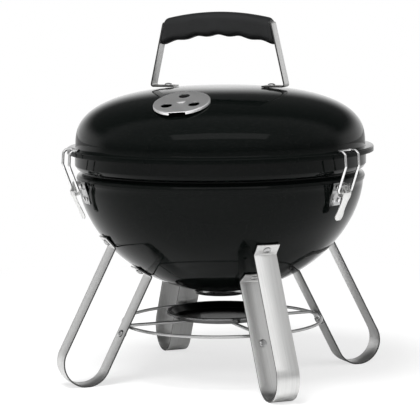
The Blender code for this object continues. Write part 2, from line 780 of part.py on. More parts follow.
def make_lid(looks):
    bm = bmesh.new()
    lathe(bm, shell(lid_outline(), SHEET))
    lid = add_object(bm, "lid", looks["enamel"])
    vent = lid_vent_place()
    handle = station(HANDLE_AZIMUTH)
    holes = bmesh.new()
    vent_holes(holes, DAMPER_HOLE, 0.008)
    drill(holes, (0, 0, 0), (0, 0, 1), VENT_RIVET_SHANK + PIN_GAP)
    holes.transform(vent)
    for point in handle_bolt_places():
        drill(holes, handle @ point, (0, 0, 1), BOLT_SHANK + PIN_GAP, 0.012)
    combine(lid, holes, "DIFFERENCE")
    make_damper("lid_vent_damper", looks, vent)
    make_handle(looks, handle)


# Latches


def bracket_line():
    """The bracket's back plate, from its riveted foot up over the bead."""
    contact, along, away = bowl_contact(BRACKET_RIVET_HEIGHT)
    seat = contact + away * (SEAT_GAP + LATCH_SHEET / 2)
    clear = BEAD_RADIUS + SEAT_GAP + LATCH_SHEET / 2 + 0.0004
    foot = seat - along * BRACKET_FOOT
    bend = seat + along * 0.005
    upright = [Vector((clear, BEAD_HEIGHT - 0.004)), Vector((clear, BRACKET_TOP))]
    return seat, away, [foot, bend, *upright]


def rivet_places():
    """The two rivets of a bracket: points on its outer face, and the way in."""
    seat, away, _ = bracket_line()
    outside = seat + away * (LATCH_SHEET / 2)
    return [space(outside, side * RIVET_SPREAD) for side in (-1, 1)], space(-away)


def make_bracket(name, place, looks):
    line = bracket_line()[2]
    back = line[2].x
    bm = bmesh.new()
    strip(bm, rounded(line, 0.002, 1), LATCH_SHEET, 2 * BRACKET_HALF_WIDTH)
    bracket = add_object(bm, f"latch_{name}_bracket", looks["strap"], place)
    ears = bmesh.new()
    x, z = LATCH_PIVOT
    outline = [
        (back - 0.0004, BRACKET_TOP - 0.0004),
        (x + 0.0015, BRACKET_TOP - 0.0004),
        (x + 0.0035, z + 0.003),
        (x + 0.0035, z - 0.002),
        (x, z - 0.0045),
        (back - 0.0004, z - 0.0055),
    ]
    for side in (-1, 1):
        inner = side * (BRACKET_HALF_WIDTH - LATCH_SHEET)
        outer = side * (BRACKET_HALF_WIDTH - 0.0002)
        plate(ears, outline, min(inner, outer), max(inner, outer))
    combine(bracket, ears, "UNION", place)
    holes = bmesh.new()
    drill(holes, (x, 0, z), (0, 1, 0), LATCH_PIN + PIN_GAP, 0.02)
    points, inward = rivet_places()
    for point in points:
        drill(holes, point, inward, RIVET_SHANK + PIN_GAP, 0.004, 6)
    combine(bracket, holes, "DIFFERENCE", place)


def make_rivets(name, place, looks):
    points, inward = rivet_places()
    head = 0.0009
    grip = LATCH_SHEET + SHEET + 3 * SEAT_GAP + side_fall(RIVET_SPREAD + RIVET_HEAD)
    for side, point in zip("ab", points):
        bm = bmesh.new()
        stack = [(RIVET_HEAD, head), (RIVET_SHANK, grip), (RIVET_HEAD, head)]
        turned(bm, stack, point - inward.normalized() * (head + SEAT_GAP), inward, 6)
        add_object(bm, f"latch_{name}_rivet_{side}", looks["plated"], place)


def make_latch_pin(name, place, looks):
    head = 0.001
    half = BRACKET_HALF_WIDTH + SEAT_GAP
    x, z = LATCH_PIVOT
    bm = bmesh.new()
    stack = [(0.0028, head), (LATCH_PIN, 2 * half), (0.0028, head)]
    turned(bm, stack, (x, -half - head, z), (0, 1, 0))
    add_object(bm, f"latch_{name}_pin", looks["plated"], place)


def lever_flange():
    """The side of the lever that holds both pivots."""
    x, z = LATCH_PIVOT
    shoulder = Vector(LEVER_SHOULDER)
    return [
        (x - 0.0028, z + 0.0022),
        (x, z + 0.0034),
        (x + 0.0028, z + 0.0022),
        (shoulder.x, shoulder.y),
        (shoulder.x - 0.0014, shoulder.y - 0.0065),
        (BAIL_PIVOT[0] - 0.003, BAIL_PIVOT[1] - 0.0045),
        (x - 0.0030, z - 0.0040),
    ]


def make_lever(name, place, looks):
    pivot = space(LATCH_PIVOT)
    shoulder = Vector(LEVER_SHOULDER)
    tip = Vector(LEVER_TIP)
    fall = shoulder - tip
    line = [shoulder, shoulder - fall * 0.16, shoulder - fall * 0.35, shoulder - fall * 0.62]
    line[1].x += 0.0010
    line[2].x += 0.0006
    line += [tip + fall * 0.12, tip + fall * 0.03, tip + Vector((0.0006, -0.0012))]
    widths = [LEVER_WIDTH] * 2 + [LEVER_WAIST] * 2
    widths += [LEVER_WIDTH, LEVER_WIDTH * 0.85, LEVER_WIDTH * 0.5]
    bm = bmesh.new()
    strip(bm, line, LATCH_SHEET, widths)
    lever = add_object(bm, f"latch_{name}_lever", looks["strap"], place, pivot)
    flanges = bmesh.new()
    for side in (-1, 1):
        inner = side * (LEVER_WIDTH / 2 - LATCH_SHEET)
        outer = side * (LEVER_WIDTH / 2 - 0.0002)
        plate(flanges, lever_flange(), min(inner, outer), max(inner, outer))
    combine(lever, flanges, "UNION", place)
    holes = bmesh.new()
    drill(holes, pivot, (0, 1, 0), LATCH_PIN + PIN_GAP, 0.02)
    drill(holes, space(BAIL_PIVOT), (0, 1, 0), BAIL_WIRE + PIN_GAP, 0.02)
    combine(lever, holes, "DIFFERENCE", place)


def make_bail(name, place, looks):
    x, z = BAIL_PIVOT
    over = BRIM_TOP + SEAT_GAP + BAIL_WIRE
    inner = BRIM_RADIUS - BAIL_OVERLAP
    shoulder = LEVER_WIDTH / 2 - LATCH_SHEET - 0.0012
    side = [(x, z), (BAIL_REACH, BAIL_KNEE), (BAIL_REACH - 0.001, over - 0.0035)]
    side += [(BAIL_REACH - 0.005, over), (inner, over)]
    half = [(x, shoulder, z)] + [(reach, BAIL_HALF_WIDTH, height) for reach, height in side]
    line = half + [(reach, -y, height) for reach, y, height in half[::-1]]
    bm = bmesh.new()
    wire(bm, rounded(line, 0.003, 1), BAIL_WIRE)
    add_object(bm, f"latch_{name}_bail", looks["plated"], place, space(BAIL_PIVOT))


def make_latch(name, azimuth, looks):
    place = station(azimuth)
    make_bracket(name, place, looks)
    make_rivets(name, place, looks)
    make_latch_pin(name, place, looks)
    make_lever(name, place, looks)
    make_bail(name, place, looks)


# Bowl


def make_bowl(looks):
    bm = bmesh.new()
    lathe(bm, shell(bowl_outline(), SHEET))
    bowl = add_object(bm, "bowl", looks["enamel"])
    holes = bmesh.new()
    for azimuth in LEG_AZIMUTHS.values():
        turn = station(azimuth).to_3x3()
        for point, inward in leg_lines()[1]:
            drill(holes, turn @ space(point), turn @ space(inward), BOLT_SHANK + PIN_GAP)
    for azimuth in LATCH_AZIMUTHS.values():
        turn = station(azimuth).to_3x3()
        points, inward = rivet_places()
        for point in points:
            drill(holes, turn @ point, turn @ inward, RIVET_SHANK + PIN_GAP, 0.005, 6)
    vent = bmesh.new()
    vent_holes(vent, DAMPER_HOLE, 0.006)
    drill(vent, (0, 0, 0), (0, 0, 1), VENT_RIVET_SHANK + PIN_GAP)
    vent.transform(bowl_vent_place())
    merge(holes, vent)
    combine(bowl, holes, "DIFFERENCE")
    make_damper("bowl_vent_damper", looks, bowl_vent_place())


def main():
    clear_scene()
    looks = make_materials()
    make_bowl(looks)
    make_lid(looks)
    make_grates(looks)
    for name, azimuth in LEG_AZIMUTHS.items():
        make_leg(name, azimuth, looks)
    make_ring(looks)
    make_pan(looks)
    for name, azimuth in LATCH_AZIMUTHS.items():
        make_latch(name, azimuth, looks)


main()
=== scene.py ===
# %% [markdown]
# # A portable charcoal kettle grill
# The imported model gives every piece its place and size. This script gives the same pieces their
# finer shapes and their finishes: enamel, brushed strap, plated wire, rolled sheet and moulded grip.

import json
import math

import bmesh
import bpy
import numpy as np
from mathutils import Matrix, Vector

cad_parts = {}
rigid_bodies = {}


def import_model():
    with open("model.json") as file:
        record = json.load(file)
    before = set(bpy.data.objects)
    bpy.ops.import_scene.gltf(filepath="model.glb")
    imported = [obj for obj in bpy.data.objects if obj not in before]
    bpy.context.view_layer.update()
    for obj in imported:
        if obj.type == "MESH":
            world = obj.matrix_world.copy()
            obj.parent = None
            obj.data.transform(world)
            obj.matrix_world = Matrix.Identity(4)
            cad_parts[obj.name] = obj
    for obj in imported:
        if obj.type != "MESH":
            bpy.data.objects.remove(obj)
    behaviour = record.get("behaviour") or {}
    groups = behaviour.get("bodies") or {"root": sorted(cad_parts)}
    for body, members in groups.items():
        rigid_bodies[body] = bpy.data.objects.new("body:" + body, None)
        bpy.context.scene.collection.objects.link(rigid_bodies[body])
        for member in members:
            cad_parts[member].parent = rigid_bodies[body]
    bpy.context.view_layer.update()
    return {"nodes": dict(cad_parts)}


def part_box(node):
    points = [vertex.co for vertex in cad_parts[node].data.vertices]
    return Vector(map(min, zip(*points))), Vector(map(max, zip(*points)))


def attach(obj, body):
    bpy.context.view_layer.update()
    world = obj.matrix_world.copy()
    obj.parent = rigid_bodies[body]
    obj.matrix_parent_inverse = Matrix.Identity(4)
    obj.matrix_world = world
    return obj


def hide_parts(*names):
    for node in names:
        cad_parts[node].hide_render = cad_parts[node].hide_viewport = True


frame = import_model()

# %% [markdown]
# ## Camera
# The camera stands low and far away behind a long lens, as for a catalogue picture, a little to the
# left of the front leg. It looks slightly down and is a touch out of level.

# %% Camera
CAMERA_DISTANCE = 2.5955
CAMERA_HEIGHT = 0.5156
CAMERA_AZIMUTH = math.radians(-21.1)  # from the front leg
CAMERA_PITCH = math.radians(6.664)
CAMERA_YAW = math.radians(0.308)
CAMERA_ROLL = math.radians(-0.658)
CAMERA_LENS = 175.4


def make_camera():
    data = bpy.data.cameras.new("camera")
    data.lens = CAMERA_LENS
    data.sensor_width = 36
    data.clip_end = 50
    camera = bpy.data.objects.new("camera", data)
    spin = Matrix.Rotation(CAMERA_AZIMUTH + CAMERA_YAW, 4, "Z")
    tilt = Matrix.Rotation(math.pi / 2 - CAMERA_PITCH, 4, "X")
    roll = Matrix.Rotation(CAMERA_ROLL, 4, "Z")
    across = math.sin(CAMERA_AZIMUTH) * CAMERA_DISTANCE
    along = -math.cos(CAMERA_AZIMUTH) * CAMERA_DISTANCE
    camera.matrix_world = Matrix.Translation((across, along, CAMERA_HEIGHT)) @ spin @ tilt @ roll
    bpy.context.scene.collection.objects.link(camera)
    bpy.context.scene.camera = camera


make_camera()

# %% [markdown]
# ## Shader maths
# A finish is a small node tree. One class wraps a socket, so that sums over a surface are written as
# Python expressions, and one class holds a material and adds any other node.


# %% Helpers for finishes
class Shade:
    """An output socket that can be used in Python expressions."""

    def __init__(self, tree, socket):
        self.tree = tree
        self.socket = socket

    def maths(self, operation, *values):
        node = self.tree.nodes.new("ShaderNodeMath")
        node.operation = operation
        for entry, value in zip(node.inputs, values):
            feed(self.tree, entry, value)
        return Shade(self.tree, node.outputs[0])

    def __add__(self, other):
        return self.maths("ADD", self, other)

    __radd__ = __add__

    def __mul__(self, other):
        return self.maths("MULTIPLY", self, other)

    __rmul__ = __mul__

    def __sub__(self, other):
        return self.maths("SUBTRACT", self, other)

    def __rsub__(self, other):
        return self.maths("SUBTRACT", other, self)

    def __pow__(self, other):
        return self.maths("POWER", self, other)


def feed(tree, entry, value):
    """Links a wrapped socket to an input, or sets the input's own value."""
    if isinstance(value, Shade):
        tree.links.new(value.socket, entry)
    else:
        entry.default_value = value


class Finish:
    """A material with one Principled shader, and the nodes that feed it."""

    def __init__(self, name, **constants):
        self.material = bpy.data.materials.new(name)
        self.material.use_nodes = True
        self.tree = self.material.node_tree
        self.shader = self.tree.nodes["Principled BSDF"]
        for entry, value in constants.items():
            self.shader.inputs[entry.replace("_", " ")].default_value = value

    def node(self, kind, values, output=0, **settings):
        made = self.tree.nodes.new(kind)
        for setting, value in settings.items():
            setattr(made, setting, value)
        for entry, value in values.items():
            feed(self.tree, made.inputs[entry], value)
        return Shade(self.tree, made.outputs[output])

    def place(self, scale=(1, 1, 1), source="Object"):
        """Coordinates in metres, stretched by scale."""
        at = self.node("ShaderNodeTexCoord", {}, source)
        return self.node("ShaderNodeMapping", {"Vector": at, "Scale": scale})

    def noise(self, at, scale, detail=2.0):
        return self.node("ShaderNodeTexNoise", {"Vector": at, "Scale": scale, "Detail": detail})

    def ramp(self, value, low, high):
        """0 below low, 1 above high, smooth between."""
        values = {"Value": value, "From Min": low, "From Max": high}
        return self.node("ShaderNodeMapRange", values, interpolation_type="SMOOTHSTEP")

    def mix(self, share, first, second):
        values = {"Factor": share, "A": (*first, 1.0), "B": (*second, 1.0)}
        made = self.tree.nodes.new("ShaderNodeMix")
        made.data_type = "RGBA"
        feed(self.tree, made.inputs[0], values["Factor"])
        feed(self.tree, made.inputs[6], values["A"])
        feed(self.tree, made.inputs[7], values["B"])
        return Shade(self.tree, made.outputs[2])

    def paint(self, entry, value):
        feed(self.tree, self.shader.inputs[entry], value)

    def bump(self, height, distance):
        self.paint("Normal", self.node("ShaderNodeBump", {"Height": height, "Distance": distance}))


# %% [markdown]
# ## Finishes
# Vitreous enamel is black glass fused on steel: nearly mirror smooth, with a faint orange-peel ripple
# and a few pin-sized flecks. The strap is brushed along its length, so its grain is noise that is
# stretched along the strap's own map. Plated wire is bright with fine rubbed marks, and the grip has
# the matt, slightly pebbled skin of moulded plastic.


# %% Finishes
def enamel_finish():
    made = Finish("kettle_enamel", Metallic=0.0)
    made.shader.inputs["Specular IOR Level"].default_value = 0.07
    at = made.place()
    flecks = made.ramp(made.noise(at, 1500, 0), 0.70, 0.78)
    clouds = made.noise(at, 14, 3)
    made.paint("Base Color", made.mix(flecks, (0.0016, 0.0024, 0.0021), (0.014, 0.014, 0.014)))
    made.paint("Roughness", 0.05 + 0.05 * clouds + 0.15 * flecks)
    made.bump(made.noise(at, 260, 1), 0.00002)
    return made.material


def brushed_finish(name, source, scale, tone):
    """Brushed stainless: fine lines along the map's first direction, dull in patches; the sheared sides are rougher and
    carry painted shade, nearly black.
    """
    made = Finish(name, Metallic=1.0)
    lines = made.noise(made.place(scale, source), 1.0, 4)
    # This attribute marks a strip's sheared sides; they are rougher, and their colour is darkened as painted shade.
    cut = made.node("ShaderNodeAttribute", {}, "Fac", attribute_name="sheared_side_painted_shade")
    patches = made.noise(made.place((1, 1, 1), source), 30, 2)
    light = tuple(min(1.0, part * 1.06) for part in tone)
    dark = tuple(part * 0.91 for part in tone)
    face = made.mix(made.ramp(lines, 0.3, 0.7), dark, light)
    # Painted shade: the base colour of the sheared sides falls to 15 %, for the dark that these narrow faces reflect.
    made.paint("Base Color", made.node("ShaderNodeVectorMath", {0: face, "Scale": 1 - 0.85 * cut}, operation="SCALE"))
    made.paint("Roughness", 0.27 + 0.16 * lines + 0.06 * patches + 0.2 * cut)
    made.bump(lines, 0.00003)
    return made.material


def plated_finish(name, tone, rough):
    made = Finish(name, Metallic=1.0)
    at = made.place()
    rubs = made.noise(at, 420, 3)
    haze = made.noise(at, 45, 2)
    made.paint("Base Color", made.mix(haze, tuple(part * 0.92 for part in tone), tone))
    made.paint("Roughness", rough + 0.10 * rubs + 0.05 * haze)
    made.bump(rubs, 0.00001)
    return made.material


def sheet_finish():
    """Bright rolled sheet with the faint circular lines left by spinning."""
    made = Finish("pan_sheet", Metallic=1.0)
    made.shader.inputs["Specular Tint"].default_value = (0.3, 0.3, 0.3, 1.0)
    at = made.place((1, 1, 0))
    reach = made.node("ShaderNodeVectorMath", {0: at}, 1, operation="LENGTH")
    lines = (reach * 3200).maths("SINE", reach * 3200)
    haze = made.noise(made.place(), 60, 3)
    made.paint("Base Color", made.mix(haze, (0.15, 0.15, 0.15), (0.20, 0.20, 0.20)))
    made.paint("Roughness", 0.10 + 0.03 * lines + 0.08 * haze)
    made.bump(lines, 0.000004)
    return made.material


def grip_finish():
    made = Finish("grip_plastic", Metallic=0.0)
    made.shader.inputs["Specular IOR Level"].default_value = 0.3
    at = made.place()
    pebbles = made.node("ShaderNodeTexVoronoi", {"Vector": at, "Scale": 1100}, "Distance")
    clouds = made.noise(at, 40, 2)
    made.paint("Base Color", made.mix(clouds, (0.0055, 0.0058, 0.0062), (0.011, 0.0115, 0.012)))
    made.paint("Roughness", 0.48 + 0.14 * pebbles)
    made.bump(pebbles, 0.00008)
    return made.material


LOOKS = {
    "enamel": enamel_finish(),
    "strap": brushed_finish("strap_brushed", "UV", (9, 1500, 1), (0.56, 0.56, 0.555)),
    "latch": brushed_finish("latch_brushed", "Object", (1400, 1400, 40), (0.66, 0.66, 0.65)),
    "plated": plated_finish("plated_steel", (0.70, 0.70, 0.70), 0.14),
    "damper": plated_finish("damper_satin", (0.86, 0.86, 0.86), 0.42),
    "wire": plated_finish("zinc_wire", (0.42, 0.42, 0.42), 0.22),
    "pan": sheet_finish(),
    "grip": grip_finish(),
    "grate": plated_finish("grate_wire", (0.62, 0.61, 0.59), 0.2),
    "coals": plated_finish("charcoal_wire", (0.30, 0.29, 0.28), 0.4),
}
print("finishes:", ", ".join(LOOKS))

# %% [markdown]
# ## Making pieces
# Every finished piece keeps its object at the origin with its place in its mesh, rides on the body
# that carries it, and hides the plain solids that it stands for.


# %% Helpers for pieces
SMOOTH_ANGLE = math.radians(32)


def add_piece(source, name, look, body, stands_for=()):
    """Makes a bmesh or a mesh a piece of the object."""
    if isinstance(source, bmesh.types.BMesh):
        mesh = bpy.data.meshes.new(name)
        source.to_mesh(mesh)
        source.free()
        mesh.shade_smooth()
        mesh.set_sharp_from_angle(angle=SMOOTH_ANGLE)
    else:
        mesh = source
        mesh.name = name
    mesh.materials.clear()
    mesh.materials.append(LOOKS[look])
    piece = bpy.data.objects.new(name, mesh)
    bpy.context.scene.collection.objects.link(piece)
    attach(piece, body)
    if stands_for:
        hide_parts(*stands_for)
    print(f"{name}: {len(mesh.polygons)} faces")
    return piece


def baked(obj):
    """The object's mesh with its modifiers worked in. The object is removed."""
    bpy.context.view_layer.update()
    graph = bpy.context.evaluated_depsgraph_get()
    mesh = bpy.data.meshes.new_from_object(obj.evaluated_get(graph))
    bpy.data.objects.remove(obj)
    return mesh


def scratch_object(bm, name):
    mesh = bpy.data.meshes.new(name)
    bm.to_mesh(mesh)
    bm.free()
    obj = bpy.data.objects.new(name, mesh)
    bpy.context.scene.collection.objects.link(obj)
    return obj


def cut_out(bm, cutter, name):
    """A mesh with another cut out of it, smooth but for its corners."""
    obj = scratch_object(bm, name)
    tool = scratch_object(cutter, name + "_tool")
    modifier = obj.modifiers.new("cut", "BOOLEAN")
    modifier.object = tool
    mesh = baked(obj)
    bpy.data.objects.remove(tool)
    mesh.shade_smooth()
    mesh.set_sharp_from_angle(angle=SMOOTH_ANGLE)
    return mesh


def station(azimuth):
    """The axes of a place round the kettle: x outwards, y sideways, z up."""
    return Matrix.Rotation(math.radians(azimuth - 90), 4, "Z")


def arc(center, radius, start, end, steps):
    angles = [start + (end - start) * k / steps for k in range(steps + 1)]
    return [Vector((center[0] + radius * math.cos(a), center[1] + radius * math.sin(a))) for a in angles]


def rounded(points, radius, steps=5):
    """A bent line with its corners rounded off."""
    points = [Vector(point) for point in points]
    line = [points[0]]
    for before, corner, after in zip(points, points[1:], points[2:]):
        towards = (before - corner).normalized()
        away = (after - corner).normalized()
        half_turn = (math.pi - towards.angle(away)) / 2
        longest = 0.45 * min((before - corner).length, (after - corner).length)
        reach = min(radius * math.tan(half_turn), longest)
        for k in range(steps + 1):
            t = k / steps
            bend = (corner + towards * reach) * (1 - t) ** 2 + corner * 2 * t * (1 - t)
            line.append(bend + (corner + away * reach) * t**2)
    return line + [points[-1]]


def side_steps(line):
    """The unit step to the right of a line at each point, longer at a corner."""
    runs = [(b - a).normalized() for a, b in zip(line, line[1:])]
    steps = []
    for before, after in zip([runs[0], *runs], [*runs, runs[-1]]):
        across = Vector((before.y + after.y, -before.x - after.x)).normalized()
        steps.append(across / max(across.dot(Vector((after.y, -after.x))), 0.3))
    return steps


def shell(outside, thickness):
    outside = [Vector(point) for point in outside]
    inside = [point + step * thickness for point, step in zip(outside, side_steps(outside))]
    for outer, inner in zip(outside, inside):
        if outer.x == 0:
            inner.x = 0
    return outside + inside[::-1]


def lathe(bm, section, steps):
    """Turns a closed section round Z, with its faces outwards."""
    verts = [bm.verts.new((point[0], 0, point[1])) for point in section]
    edges = [bm.edges.new(pair) for pair in zip(verts, verts[1:] + verts[:1])]
    around = {"axis": (0, 0, 1), "cent": (0, 0, 0), "angle": 2 * math.pi, "steps": steps}
    bmesh.ops.spin(bm, geom=verts + edges, use_merge=True, **around)
    bmesh.ops.remove_doubles(bm, verts=bm.verts, dist=1e-6)
    bmesh.ops.dissolve_degenerate(bm, edges=bm.edges, dist=1e-6)
    bmesh.ops.recalc_face_normals(bm, faces=bm.faces)


def add_pin(bm, place, radius, reach):
    """A plain round cutter along a place's z axis."""
    around = place @ Matrix.Identity(4)
    sizes = {"radius1": radius, "radius2": radius, "depth": 2 * reach}
    bmesh.ops.create_cone(bm, cap_ends=True, segments=32, matrix=around, **sizes)


# %% [markdown]
# ## Lid and bowl
# Both are drawn from one sheet, so each is a section turned round the axis: a full-shouldered dome
# with a brim and a down-turned lip, and a bowl with an upright band, a groove, a bead and a rounded
# body. The vents are cut through afterwards.

# %% Lid
SHEET = 0.0012
ROUND_STEPS = 144
lid_low, lid_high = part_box("lid")
bowl_low, bowl_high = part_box("bowl")
LID_RADIUS = 0.184
LID_BASE = 0.296
LID_SHOULDER = (0.785, 0.743)
BRIM_TOP = 0.2952
VENT_HOLE = 0.0070  # in the damper
SHEET_HOLE = 0.0095  # in the lid, wider so that the two still meet round a curve
VENT_CIRCLE = 0.0195
DAMPER_LIFT = 0.002
LID_VENT_REACH = 0.133
LID_VENT_AZIMUTH = -41.3
VENT_TURN = math.radians(-50)


def dome_point(turn):
    reach = LID_RADIUS * math.cos(turn) ** LID_SHOULDER[0]
    return Vector((reach, LID_BASE + (lid_high.z - LID_BASE) * math.sin(turn) ** LID_SHOULDER[1]))


def dome_height(reach):
    return dome_point(math.acos((reach / LID_RADIUS) ** (1 / LID_SHOULDER[0]))).y


def lid_vent_place():
    """Origin on the dome, z along its normal, turned as the damper lies."""
    step = 0.001
    fall = dome_height(LID_VENT_REACH - step) - dome_height(LID_VENT_REACH + step)
    at = Matrix.Translation((LID_VENT_REACH, 0, dome_height(LID_VENT_REACH)))
    tilted = at @ Matrix.Rotation(math.atan2(fall, 2 * step), 4, "Y")
    return station(LID_VENT_AZIMUTH) @ tilted @ Matrix.Rotation(VENT_TURN, 4, "Z")


def vent_cutter(place, radius=VENT_HOLE):
    bm = bmesh.new()
    for k in range(3):
        angle = 2 * math.pi * k / 3
        at = Matrix.Translation((VENT_CIRCLE * math.cos(angle), VENT_CIRCLE * math.sin(angle), 0))
        add_pin(bm, place @ at, radius, 0.008)
    return bm


def lid_section():
    steps = 40
    turns = [math.pi / 2 * (1 - (k / steps) ** 1.2) for k in range(1, steps)]
    line = [(0, lid_high.z)] + [dome_point(turn) for turn in turns]
    brim = [(LID_RADIUS, LID_BASE + 0.0014), (LID_RADIUS + SHEET, BRIM_TOP), (lid_high.x, BRIM_TOP)]
    return shell(line + rounded(brim + [(lid_high.x, lid_low.z)], 0.0018, 4), SHEET)


lid_mesh = bmesh.new()
lathe(lid_mesh, lid_section(), ROUND_STEPS)
add_piece(cut_out(lid_mesh, vent_cutter(lid_vent_place(), SHEET_HOLE), "lid"), "lid_shell", "enamel", "lid", ["lid"])

# %% Bowl
BOWL_RADIUS = 0.1816
BOWL_DEPTH = 0.1484
BOWL_FULLNESS = 1.1
BAND = (0.185, 0.273)  # radius, and where it ends
GROOVE = (0.1756, 0.2648)
BEAD = (0.1834, 0.2572)
BEAD_BOTTOM = 0.2505
BOWL_FLAT = 0.0085


def bowl_point(turn):
    height = bowl_low.z + BOWL_DEPTH * (1 - math.sin(turn) ** BOWL_FULLNESS)
    return Vector((BOWL_RADIUS * math.cos(turn), height))


def bowl_section():
    rim = bowl_high.z - SHEET
    top = [(bowl_high.x, rim), (BAND[0], rim), BAND, (BAND[0] - 0.0035, BAND[1] - 0.005)]
    top += [(GROOVE[0], GROOVE[1] + 0.0012), (GROOVE[0], GROOVE[1] - 0.0006)]
    top += [(BEAD[0] - 0.0012, BEAD[1] + 0.0035), BEAD, (BEAD[0] - 0.0006, BEAD[1] - 0.0037)]
    start = math.asin((1 - (BEAD_BOTTOM - bowl_low.z) / BOWL_DEPTH) ** (1 / BOWL_FULLNESS))
    steps = 44
    body = [bowl_point(start + (math.pi / 2 - start) * k / steps) for k in range(steps - 1)]
    return shell(rounded(top + body[:1], 0.002, 3) + body[1:] + [(BOWL_FLAT, bowl_low.z), (0, bowl_low.z)], SHEET)


bowl_vent = Matrix.Translation((0, 0, bowl_low.z)) @ Matrix.Rotation(math.pi, 4, "X")
bowl_mesh = bmesh.new()
lathe(bowl_mesh, bowl_section(), ROUND_STEPS)
add_piece(cut_out(bowl_mesh, vent_cutter(bowl_vent), "bowl"), "bowl_shell", "enamel", "kettle", ["bowl"])

# %% [markdown]
# ## Vent dampers
# A damper is a shallow stamped cap that turns on a rivet. It has three round ports that meet the
# holes below, and a notch in its skirt. The same shape serves the lid and, turned over, the bowl.

# %% Dampers
DAMPER_RADIUS = 0.035
DAMPER_SHEET = 0.001
DAMPER_RIM = 0.0026
NOTCH = (0.021, 0.0026)


def damper_mesh(place):
    top = DAMPER_SHEET
    face = [(0, top), (DAMPER_RADIUS * 0.30, top + 0.0002), (DAMPER_RADIUS * 0.36, top - 0.0002)]
    edge = [(DAMPER_RADIUS, top), (DAMPER_RADIUS, -DAMPER_RIM)]
    bm = bmesh.new()
    lathe(bm, shell(face[:1] + rounded(face[2:] + edge, 0.0016, 4), DAMPER_SHEET), 72)
    tool = vent_cutter(Matrix.Identity(4))
    notch = Matrix.Rotation(math.radians(60), 4, "Z") @ Matrix.Translation((DAMPER_RADIUS, 0, 0))
    size = Matrix.Diagonal((2 * NOTCH[1], NOTCH[0], 0.02, 1))
    bmesh.ops.create_cube(tool, size=1, matrix=notch @ size)
    mesh = cut_out(bm, tool, "damper")
    mesh.transform(place @ Matrix.Translation((0, 0, DAMPER_LIFT)))
    return mesh


def rivet_mesh(place, low, high, radius):
    """A low domed rivet head between two heights of a place."""
    bm = bmesh.new()
    dome = [Vector((radius * math.cos(a), low + (high - low) * math.sin(a))) for a in np.linspace(math.pi / 2, 0, 7)]
    dome[0].x = 0
    lathe(bm, dome + [Vector((0, low))], 32)
    mesh = bpy.data.meshes.new("rivet")
    bm.to_mesh(mesh)
    bm.free()
    mesh.shade_smooth()
    mesh.set_sharp_from_angle(angle=SMOOTH_ANGLE)
    mesh.transform(place)
    return mesh


RIVET_TOP = DAMPER_LIFT + DAMPER_SHEET + 0.0003
# Painted shade: the bowl's damper and its rivet take the black enamel instead of the lid damper's satin plate, hiding
# the bright floor that they would reflect under the bowl.
for name, body, carrier, place, look in (
    ("lid_vent", "lid_damper", "lid", lid_vent_place(), "damper"),
    ("bowl_vent", "bowl_damper", "kettle", bowl_vent, "enamel"),
):
    add_piece(damper_mesh(place), f"{name}_cap", look, body, [f"{name}_damper"])
    head = rivet_mesh(place, RIVET_TOP, RIVET_TOP + 0.0016, 0.006)
    add_piece(head, f"{name}_rivet_head", look, carrier, [f"{name}_rivet"])

# %% [markdown]
# ## Straps
# Legs and carry handle are flat strip bent on edge lines. A strip is swept along its centre line with
# its own map: the first direction runs along the strip, so that the brushing follows every bend.

# %% Strips
LEG_WIDTH = 0.0295
STRAP = 0.002
LEG_LOOP = 0.031
LEG_REACH = 0.1864
LEG_TILT = math.radians(27.2)
FOOT_FLAT = math.radians(8)
TAB_END = 0.0085
HEAD = (0.0049, 0.0025)
SEAT_GAP = 0.0003
LEGS = {"front": 0, "right": 90, "rear": 180, "left": 270}
KETTLE_MIDDLE = Vector((0, 0, 0.24))


def strip_mesh(line, thickness, width, place, bevel=0.00045):
    """A flat strip along a line in the x-z plane, with softened edges and a map in metres."""
    line = [Vector(point) for point in line]
    bm = bmesh.new()
    layer = bm.loops.layers.uv.new("strip")
    # The narrow sheared sides are marked, so that the strap finish roughens them and paints shade on them.
    cut = bm.faces.layers.float.new("sheared_side_painted_shade")
    rings = []
    maps = {}
    along = 0.0
    for k, (point, step) in enumerate(zip(line, side_steps(line))):
        along += (point - line[k - 1]).length if k else 0
        ring = []
        for side, y in ((-0.5, -0.5), (0.5, -0.5), (0.5, 0.5), (-0.5, 0.5)):
            at = point + step * side * thickness
            ring.append(bm.verts.new((at.x, y * width, at.y)))
            maps[ring[-1]] = (along, y * width + side * thickness * 0.5)
        rings.append(ring)
    for ring, following in zip(rings, rings[1:]):
        for k in range(4):
            side = bm.faces.new((ring[k], ring[k - 1], following[k - 1], following[k]))
            side[cut] = k % 2
    bm.faces.new(rings[0])
    bm.faces.new(rings[-1][::-1])
    for face in bm.faces:
        for loop in face.loops:
            loop[layer].uv = maps[loop.vert]
    bmesh.ops.recalc_face_normals(bm, faces=bm.faces)
    obj = scratch_object(bm, "strip")
    modifier = obj.modifiers.new("edges", "BEVEL")
    modifier.width = bevel
    modifier.segments = 2
    modifier.limit_method = "ANGLE"
    modifier.angle_limit = math.radians(40)
    mesh = baked(obj)
    mesh.shade_smooth()
    mesh.set_sharp_from_angle(angle=SMOOTH_ANGLE)
    mesh.transform(place)
    return mesh


def screw_place(node):
    """The outer end of a packed screw's head and the way out of it."""
    points = np.array([v.co for v in frame["nodes"][node].data.vertices])
    points = np.unique(points.round(6), axis=0)
    middle = points.mean(0)
    sizes, ways = np.linalg.eigh(np.cov((points - middle).T))
    odd = 2 if sizes[2] - sizes[1] > sizes[1] - sizes[0] else 0
    way = Vector(ways[:, odd])
    if way.dot(Vector(middle) - KETTLE_MIDDLE) < 0:
        way = -way
    reach = max((Vector(point) - Vector(middle)).dot(way) for point in points)
    low, high = (Vector(points.min(0)), Vector(points.max(0)))
    return (low + high) / 2, Vector(middle) + way * reach, way


def flat_point(azimuth, point):
    """A point in space as (reach, height) in a station's plane."""
    at = station(azimuth).inverted() @ point.to_3d()
    return Vector((at.x, at.z))


def meet(point, along, other, other_along):
    cross = along.x * other_along.y - along.y * other_along.x
    apart = other - point
    return point + along * ((apart.x * other_along.y - apart.y * other_along.x) / cross)


